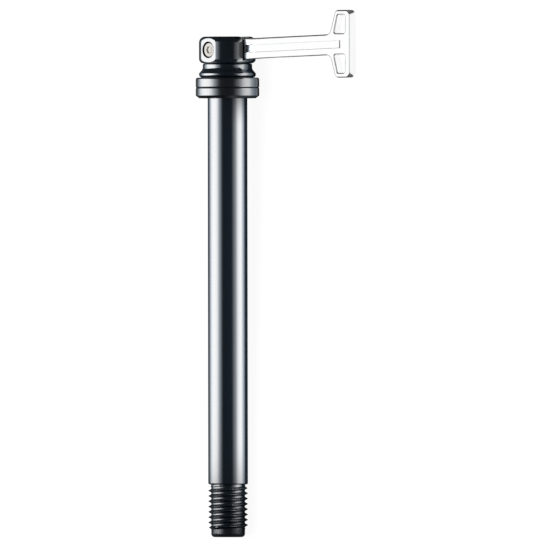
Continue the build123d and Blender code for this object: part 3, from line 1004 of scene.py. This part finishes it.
class ThruAxleAddScrew(bpy.types.Operator):
    """Build the lever's socket screw"""

    bl_idname = "thru_axle.add_screw"
    bl_label = "Lever screw"

    def execute(self, context):
        s = context.scene.thru_axle_head
        top, head, shoulder, thread = s.screw_top, s.screw_head / 2, s.shoulder / 2, s.screw_thread / 2
        face_round, seat_round, end_round, socket_round = 0.1 * MM, 0.05 * MM, 0.2 * MM, 0.05 * MM
        profile = [
            (0, top, 0),
            (head - s.screw_bevel, top, face_round),
            (head, top - s.screw_bevel, face_round),
            (head, s.screw_seat, seat_round),
            (shoulder, s.screw_seat, 0),
            (shoulder, -s.shoulder_end, 0),
            (thread, -s.shoulder_end, 0),
            (thread, -s.screw_end, end_round),
            (0, -s.screw_end, 0),
        ]
        blank = turned(rounded(profile), 96)
        # the profile's height runs along the screw, which points along -Y
        blank.transform(Matrix.Translation((0, 0, PIVOT_HEIGHT)) @ Matrix.Rotation(math.pi / 2, 4, "X"))
        hexagon = circle(0, PIVOT_HEIGHT, s.socket / 2 / math.cos(math.pi / 6), 6)
        socket = prism(hexagon, -top - MM, -top + s.socket_depth)
        piece = finished("lever_screw", carved(blank, [socket], socket_round))
        install(piece, "axle", "pivot_screw", "steel_screw")
        return {"FINISHED"}


class ThruAxleAddLever(bpy.types.Operator):
    """Build the T-shaped lever with its windows and channels"""

    bl_idname = "thru_axle.add_lever"
    bl_label = "T lever"

    def execute(self, context):
        s = context.scene.thru_axle_lever
        loops = [self.outline(s), *self.windows(s)]
        loops.append([Vector(p) for p in circle(0, PIVOT_HEIGHT, s.hub_bore / 2, 72)][::-1])
        mesh = carved(plate(loops, s.thickness / 2, s.edge, 4), self.channels(s))
        install(finished("lever", mesh), "lever", "t_lever", "polished_lever")
        return {"FINISHED"}

    def outline(self, s):
        """The lever's outer edge: the arm's two edges meet the struts, and the hub's round end closes it."""
        rise, hub, half_tee = math.tan(s.rise), s.arm / 2, s.tee / 2
        centre = PIVOT_HEIGHT + s.reach * rise
        top_reach = s.reach - s.tee_top
        lean = s.sweep / (half_tee - hub)
        foot_reach = top_reach - s.sweep - lean * hub / 2
        corners = []
        for side in (-1, 1):
            edge_at_pivot = PIVOT_HEIGHT + side * hub / math.cos(s.rise)
            strut_rise = side * (half_tee - hub / 2) / (top_reach - foot_reach)
            strut_at_pivot = centre + side * hub / 2 - strut_rise * foot_reach
            meet = (strut_at_pivot - edge_at_pivot) / (rise - strut_rise)
            one_side = [
                (meet, edge_at_pivot + rise * meet, s.root),
                (top_reach, centre + side * half_tee, s.shoulder),
                (s.reach, centre + side * half_tee, s.corner),
            ]
            corners += one_side if side < 0 else reversed(one_side)
        steps = 40
        for index in range(steps + 1):
            angle = math.pi / 2 + s.rise + math.pi * index / steps
            corners.append((hub * math.cos(angle), PIVOT_HEIGHT + hub * math.sin(angle), 0))
        return rounded(corners)

    def windows(self, s):
        """The edges of the two windows in the T."""
        hub, half_tee = s.arm / 2, s.tee / 2
        centre = PIVOT_HEIGHT + s.reach * math.tan(s.rise)
        root_reach = s.reach - s.tee_top - s.sweep
        low, high = hub + s.window_gap, half_tee - s.rail
        tip = root_reach + s.sweep / (half_tee - hub) * (high - hub) + s.strut_top
        right = s.reach - s.outer_bar
        corners = ((root_reach + s.strut_root, low), (tip, high), (right, high), (right, low))
        for side in (1, -1):
            window = [(x, centre + side * z, s.window_round) for x, z in corners]
            # both run clockwise, as the edges of holes do
            yield rounded(window[::side])

    def channels(self, s):
        """The cutters of the channels down the arm's two faces."""
        half, rise = s.thickness / 2, math.tan(s.rise)
        slope, runout = math.tan(s.channel_slope), math.tan(s.channel_runout)
        clear = 0.3 * MM
        for side in (-1, 1):
            ends = []
            for out in (clear, -s.channel_depth):
                half_width = s.channel / 2 + out * slope
                first, last = s.channel_start - out * slope, s.channel_end + out * runout
                corners = ((first, -half_width), (last, -half_width), (last, half_width), (first, half_width))
                ends.append([(x, side * (half + out), PIVOT_HEIGHT + x * rise + z) for x, z in corners])
            yield between(*ends)


class ThruAxleDressInnerPieces(bpy.types.Operator):
    """Give the small inner pieces their finishes"""

    bl_idname = "thru_axle.dress_inner_pieces"
    bl_label = "Inner pieces"

    def execute(self, context):
        for part in frame["record"]["subparts"]:
            node = frame["nodes"][part["node"]]
            for slot in node.material_slots:
                slot.material = material_of(part["material_slot"])
            if not node.material_slots:
                node.data.materials.append(material_of(part["material_slot"]))
            light(node, "black_anodised", part["node"])
        return {"FINISHED"}


# Studio

VIEW = Vector((0.719, -0.695, 0.0)).normalized()
VIEW_RIGHT = Vector((0.695, 0.719, 0.0)).normalized()
ALONG = Vector((0, 0, 1))
SHAFT_RADIUS = 7.5 * MM
RING_RADIUS = 12 * MM

# Angles off the view, across the axle, and the share of the full light that the axle mirrors there
LEFT_LIGHT = (
    (146, 0.0), (132, 0.05), (120, 0.29), (109, 0.62), (98, 0.85), (87, 0.96), (78, 0.99),
    (69, 0.95), (62, 0.8), (55, 0.51), (49, 0.31), (43, 0.2), (37, 0.095), (31, 0.005),
)
NEAR_LIGHT = (
    (124, 0.1), (113, 0.2), (103, 0.31), (95, 0.57), (86.5, 0.88), (79, 0.97), (72, 0.94),
    (65, 0.885), (58, 0.71), (51.5, 0.4),
)
FAR_LIGHT = ((51.5, 0.4), (45, 0.22), (39, 0.17))
CARD_LIGHT = ((39, 0.17), (33, 0.105), (27, 0.02), (22, 0.0))

# Outlines of the cards above and below the lever, in millimetres across and along the axle. The cards are painted
# dark reflections: only mirrors see them
BLACK_REFLECTION_CARDS = (
    ((-60, 90), (-60, 30), (14, 25), (57, 26.5), (57, 90)),
    ((14, 13), (57, 13.5), (57, -50), (14, -50)),
)
GREY_REFLECTION_CARDS = (
    ((57, 26.5), (60, 33.6), (76, 33.6), (110, 50), (110, 90), (57, 90)),
    ((57, 13.5), (60, 6.8), (76, 8.3), (110, 8), (110, -50), (57, -50)),
)


def off_view(angle, side):
    """The direction at an angle from the camera's, to its left (-1) or right (1), across the axle."""
    turn = math.radians(angle)
    return VIEW * math.cos(turn) + VIEW_RIGHT * (side * math.sin(turn))


def levels_of(parts, peak, side, radius, start, end):
    """Where a barrel mirrors each part of a light to the camera, and the radiance there.

    A place is a share of the way from start to end.
    """
    levels = []
    for angle, part in parts:
        spot = off_view(angle / 2, side) * radius - start
        way = off_view(angle, side)
        place = way.cross(spot).z / way.cross(end - start).z
        levels.append((min(max(place, 0.0), 1.0), part * peak))
    return sorted(levels)


def panel(name, start, end, low, high, levels, lit, fade_low=0.0, fade_high=0.0):
    """A long lamp beside the axle, which lights only the named pieces.

    It spans two points across the axle and two heights along it. Its levels are pairs of a share
    of the way from start to end and the radiance there. It can fade in over a length at each end.
    """
    run = end - start
    width, height = run.length, high - low
    centre = (start + end) / 2 + ALONG * ((low + high) / 2)
    behind = run.normalized().cross(ALONG)
    if behind.dot(centre) < 0:
        behind = -behind
    across = ALONG.cross(behind)
    peak = max(level for place, level in levels)
    data = bpy.data.lights.new(name, "AREA")
    data.shape = "RECTANGLE"
    data.size = width
    data.size_y = height
    data.energy = peak * math.pi * width * height
    data.use_nodes = True
    tree = data.node_tree
    emission = tree.nodes["Emission"].inputs
    apart = axes_of(tree, add(tree, "ShaderNodeNewGeometry").outputs["Parametric"])
    ramp = add(tree, "ShaderNodeValToRGB", {"Fac": apart["X"]})
    stops = ramp.color_ramp.elements
    if across.dot(run) < 0:
        levels = [(1 - place, level) for place, level in reversed(levels)]
    dim = bpy.context.scene.thru_axle_finishes.dim_light
    for index, (place, level) in enumerate(levels):
        stop = stops[index] if index < 2 else stops.new(place)
        stop.position = place
        part = level / peak
        # neutral where it is bright, bluish where it fades
        stop.color = (*[part * (part + (1 - part) * c / dim[1]) for c in dim], 1.0)
    tree.links.new(ramp.outputs["Color"], emission["Color"])
    growth = 1.0
    for fade, first, last in ((fade_low, 0.0, fade_low / height), (fade_high, 1.0, 1.0 - fade_high / height)):
        if fade:
            ends = {"Value": apart["Y"], "From Min": first, "From Max": last}
            step = output(tree, "ShaderNodeMapRange", ends, interpolation_type="SMOOTHSTEP")
            growth = sums(tree, "MULTIPLY", step, growth)
    if fade_low or fade_high:
        tree.links.new(growth, emission["Strength"])
    lamp = placed(name, data)
    turn = Matrix((across, ALONG, behind)).transposed().to_4x4()
    lamp.matrix_world = LAID_DOWN @ Matrix.Translation(centre) @ turn
    lamp.visible_camera = False
    lamp.light_linking.receiver_collection = receivers(lit)


def even_panel(name, middle, half, low, high, level, lit):
    """A long lamp of one level all over, which reaches half to each side of its middle."""
    panel(name, middle - half, middle + half, low, high, [(0.0, level), (1.0, level)], lit)


class ThruAxleAddStage(bpy.types.Operator):
    """Build the floor, the lamps and the camera"""

    bl_idname = "thru_axle.add_stage"
    bl_label = "Stage"

    def execute(self, context):
        look = context.scene.thru_axle_finishes
        context.scene.view_settings.view_transform = "Standard"
        self.floor(look)
        self.world(context)
        down = UPRIGHT.to_3x3() @ Vector((0, 0, -1))
        down = Vector((down.x, down.y, 0)).normalized()
        beside = Vector((down.y, -down.x, 0))
        self.softbox(look.band)
        self.strips(look.band, down, beside)
        # the lever's own panel, where its flat face mirrors it to the camera
        middle, half = off_view(76, -1) * 0.9, off_view(14, 1) * 0.63
        even_panel("lever panel", middle, half, -0.5, 0.36, look.lever_light, "bright pieces")
        # a weaker one round the camera, for the edges between the lever's faces
        middle, half = VIEW * 1.2, VIEW_RIGHT * 0.9
        even_panel("fill panel", middle, half, -0.5, 0.54, look.fill_light, "bright pieces")
        # painted dark reflections along the lever's edges, from cards that only mirrors see
        self.painted_reflection_cards()
        # soft light on the floor, which gives the object its shadow
        middle, half = down * -1.0 - beside * 0.25, beside * 0.6
        even_panel("floor panel", middle, half, -0.65, 0.55, look.floor_light, "stage")
        self.camera(context)
        return {"FINISHED"}

    def floor(self, look):
        """A pale floor, which glows white to the camera and in mirrors, and keeps the shadow."""
        shape = bmesh.new()
        bmesh.ops.create_grid(shape, x_segments=1, y_segments=1, size=8.0)
        mesh = plain_mesh(shape, "floor")
        mesh.transform(Matrix.Translation((0, 0, FLOOR_HEIGHT)))
        floor = placed("floor", mesh)
        material, tree, shader = plain_material("floor")
        shader["Base Color"].default_value = (*look.floor, 1.0)
        shader["Roughness"].default_value = 0.9
        shader["Specular IOR Level"].default_value = 0.0
        shader["Emission Color"].default_value = (1.0, 1.0, 1.0, 1.0)
        rays = add(tree, "ShaderNodeLightPath").outputs
        seen = sums(tree, "MAXIMUM", rays["Is Camera Ray"], rays["Is Glossy Ray"])
        seen = sums(tree, "MAXIMUM", seen, rays["Is Transmission Ray"])
        tree.links.new(sums(tree, "MULTIPLY", seen, look.glow), shader["Emission Strength"])
        mesh.materials.append(material)
        receivers("stage").objects.link(floor)
        # only the bright pieces mirror the floor's glow; the black ones mirror it as it is lit
        floor.light_linking.receiver_collection = receivers("bright pieces")

    def world(self, context):
        """A world that is white to the camera and weak as a light."""
        world = bpy.data.worlds.new("studio")
        context.scene.world = world
        world.use_nodes = True
        tree = world.node_tree
        seen = add(tree, "ShaderNodeLightPath").outputs["Is Camera Ray"]
        background = tree.nodes["Background"].inputs
        background["Color"].default_value = (1.0, 1.0, 1.0, 1.0)
        tree.links.new(spread(tree, seen, 0.05, 1.0), background["Strength"])

    def camera(self, context):
        """A camera far off at the photograph's viewing angle, which looks down on the axle."""
        data = bpy.data.cameras.new("camera")
        camera = placed("camera", data)
        context.scene.camera = camera
        distance, frame_width = 10.0, 0.2078
        data.sensor_width = 36.0
        data.lens = data.sensor_width * distance / frame_width
        data.clip_start = 0.1
        data.clip_end = 100.0
        aim = VIEW_RIGHT * 17.85 * MM + ALONG * -66.8 * MM
        roll = 0.00156
        across = (ALONG + VIEW_RIGHT * roll).cross(VIEW).normalized()
        turn = Matrix((across, VIEW.cross(across), VIEW)).transposed().to_4x4()
        camera.matrix_world = LAID_DOWN @ Matrix.Translation(aim + VIEW * distance) @ turn

    def painted_reflection_cards(self):
        """Dark cards on the floor above and below the lever, which the edges of the lever mirror: painted dark
        reflections that only mirrors see.
        """
        shape = bmesh.new()
        level = FLOOR_HEIGHT + 0.25 * MM
        materials = []
        for name, grey, outlines in (("black reflection card", 0.02, BLACK_REFLECTION_CARDS), ("grey reflection card", 0.3, GREY_REFLECTION_CARDS)):
            for outline in outlines:
                face = shape.faces.new([shape.verts.new((x * MM, y * MM, level)) for x, y in outline])
                face.material_index = len(materials)
            material, tree, shader = plain_material(name)
            shader["Base Color"].default_value = (grey, grey, grey, 1.0)
            shader["Roughness"].default_value = 0.9
            materials.append(material)
        mesh = plain_mesh(shape, "painted reflection cards")
        for material in materials:
            mesh.materials.append(material)
        cards = placed("painted_reflection_cards", mesh)
        # the cards are hidden from the camera, from diffuse light and from shadows, so they show only as painted
        # reflections
        cards.visible_camera = False
        cards.visible_diffuse = False
        cards.visible_shadow = False
        receivers("stage").objects.link(cards)

    def softbox(self, peak):
        """A soft panel overhead, which the left half of the axle mirrors."""
        middle, half = off_view(88, -1) * 0.35, off_view(2, 1) * 0.56
        start, end = middle - half, middle + half
        levels = levels_of(LEFT_LIGHT, peak, -1, SHAFT_RADIUS, start, end)
        panel("softbox", start, end, -0.158, 0.15, levels, "black pieces", fade_low=0.012)

    def strips(self, peak, down, beside):
        """Low panels beside the axle, for its right half: one set for the shaft, one for the rest."""
        ground = down * 7.4 * MM
        corner = ground + beside * 150 * MM
        below = corner - down * 50 * MM
        for lit, radius, first, strength, low, high, fade_low, fade_high in (
            ("shaft", SHAFT_RADIUS, 7.8 * MM, 1.0, -0.17, 0.008, 0.042, 0.02),
            ("rings and head", RING_RADIUS, 9.6 * MM, 0.66, -0.02, 0.042, 0.0, 0.016),
        ):
            middle = ground + beside * radius * 5
            for name, start, end, parts in (
                ("near strip", ground + beside * first, middle, NEAR_LIGHT),
                ("far strip", middle, corner, FAR_LIGHT),
                ("card", corner, below, CARD_LIGHT),
            ):
                levels = levels_of(parts, strength * peak, 1, radius, start, end)
                panel(f"{name} of {lit}", start, end, low, high, levels, lit, fade_low, fade_high)


class ThruAxlePanel(bpy.types.Panel):
    """Builds the thru axle and lists its sizes"""

    bl_idname = "VIEW3D_PT_thru_axle"
    bl_label = "Bicycle Thru Axle"
    bl_space_type = "VIEW_3D"
    bl_region_type = "UI"
    bl_category = "Thru Axle"

    def draw(self, context):
        for operator in OPERATORS:
            self.layout.operator(operator.bl_idname)
        for name in SETTINGS:
            box = self.layout.box()
            settings = getattr(context.scene, name)
            for key in type(settings).__annotations__:
                box.prop(settings, key)


SETTINGS = {
    "thru_axle_shaft": ThruAxleShaftSizes,
    "thru_axle_rings": ThruAxleRingSizes,
    "thru_axle_head": ThruAxleHeadSizes,
    "thru_axle_lever": ThruAxleLeverSizes,
    "thru_axle_finishes": ThruAxleFinishes,
}
OPERATORS = (
    ThruAxleDressInnerPieces,
    ThruAxleAddShaft,
    ThruAxleAddRings,
    ThruAxleAddHead,
    ThruAxleAddScrew,
    ThruAxleAddLever,
    ThruAxleAddStage,
)


def register():
    """Register the settings, the operators and the panel."""
    for name, settings in SETTINGS.items():
        bpy.utils.register_class(settings)
        setattr(bpy.types.Scene, name, PointerProperty(type=settings))
    for operator in OPERATORS:
        bpy.utils.register_class(operator)
    bpy.utils.register_class(ThruAxlePanel)


def unregister():
    """Take everything away again."""
    bpy.utils.unregister_class(ThruAxlePanel)
    for operator in reversed(OPERATORS):
        bpy.utils.unregister_class(operator)
    for name, settings in SETTINGS.items():
        delattr(bpy.types.Scene, name)
        bpy.utils.unregister_class(settings)


def main():
    """Build everything."""
    register()
    for operator in OPERATORS:
        category, name = operator.bl_idname.split(".")
        getattr(getattr(bpy.ops, category), name)()


if __name__ == "__main__":
    main()
